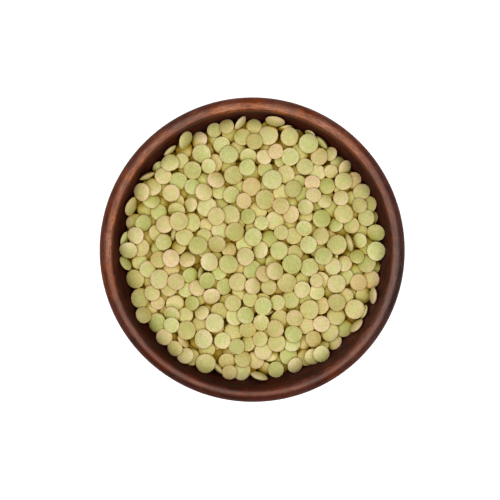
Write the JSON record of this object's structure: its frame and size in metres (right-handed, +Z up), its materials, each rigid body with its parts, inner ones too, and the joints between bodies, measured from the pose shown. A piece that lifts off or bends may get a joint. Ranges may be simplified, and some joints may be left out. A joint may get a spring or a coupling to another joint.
{
  "type": "bowl of dry lentils",
  "caption": "Small round clay bowl with a thick rounded lip and a foot ring, filled nearly to the lip with a gently domed heap of dry green lentils.",
  "frame": {"origin": "centre of the foot ring's underside, on the surface that the bowl stands on", "axes": "+Z up, out of the bowl's mouth; X and Y are level and alike, because the bowl is round"},
  "size_m": [0.11, 0.11, 0.046],
  "materials": {
    "clay": "satin",
    "lentil_coat": "matte"
  },
  "bodies": {
    "root": {"bowl": "clay", "lentils": "lentil_coat"}
  },
  "joints": []
}
